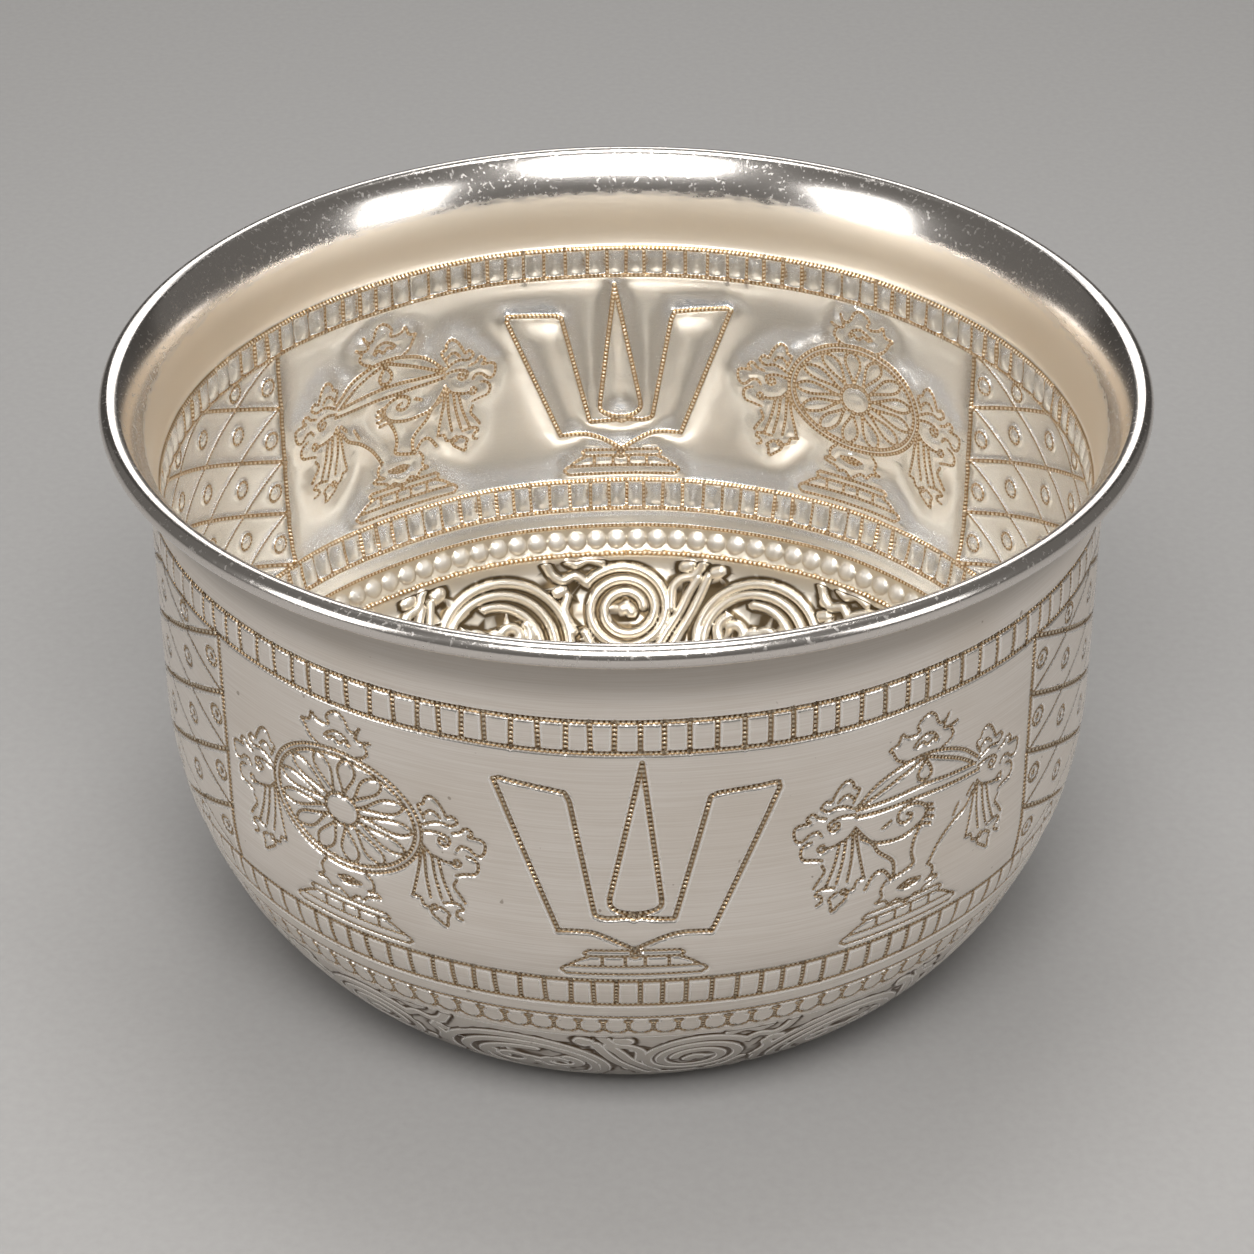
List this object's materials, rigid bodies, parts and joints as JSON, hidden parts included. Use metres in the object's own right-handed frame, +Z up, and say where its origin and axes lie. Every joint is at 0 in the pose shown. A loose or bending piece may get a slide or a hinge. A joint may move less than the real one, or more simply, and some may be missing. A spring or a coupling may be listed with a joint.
{
  "type": "offering bowl",
  "caption": "Round raised silver offering bowl with a flat base, rounded belly, upright chased wall and a flared lip rolled over a wire.",
  "frame": {"origin": "centre of the flat base, on the surface that the bowl stands on", "axes": "+Z up along the bowl's axis, towards its mouth; -Y towards the front panel"},
  "size_m": [0.11, 0.11, 0.068],
  "materials": {
    "silver_sheet": "satin chased silver, darkened in the grooves",
    "silver_wire": "drawn silver wire"
  },
  "bodies": {
    "root": {"bowl_shell": "silver_sheet", "rim_wire": "silver_wire"}
  },
  "joints": []
}
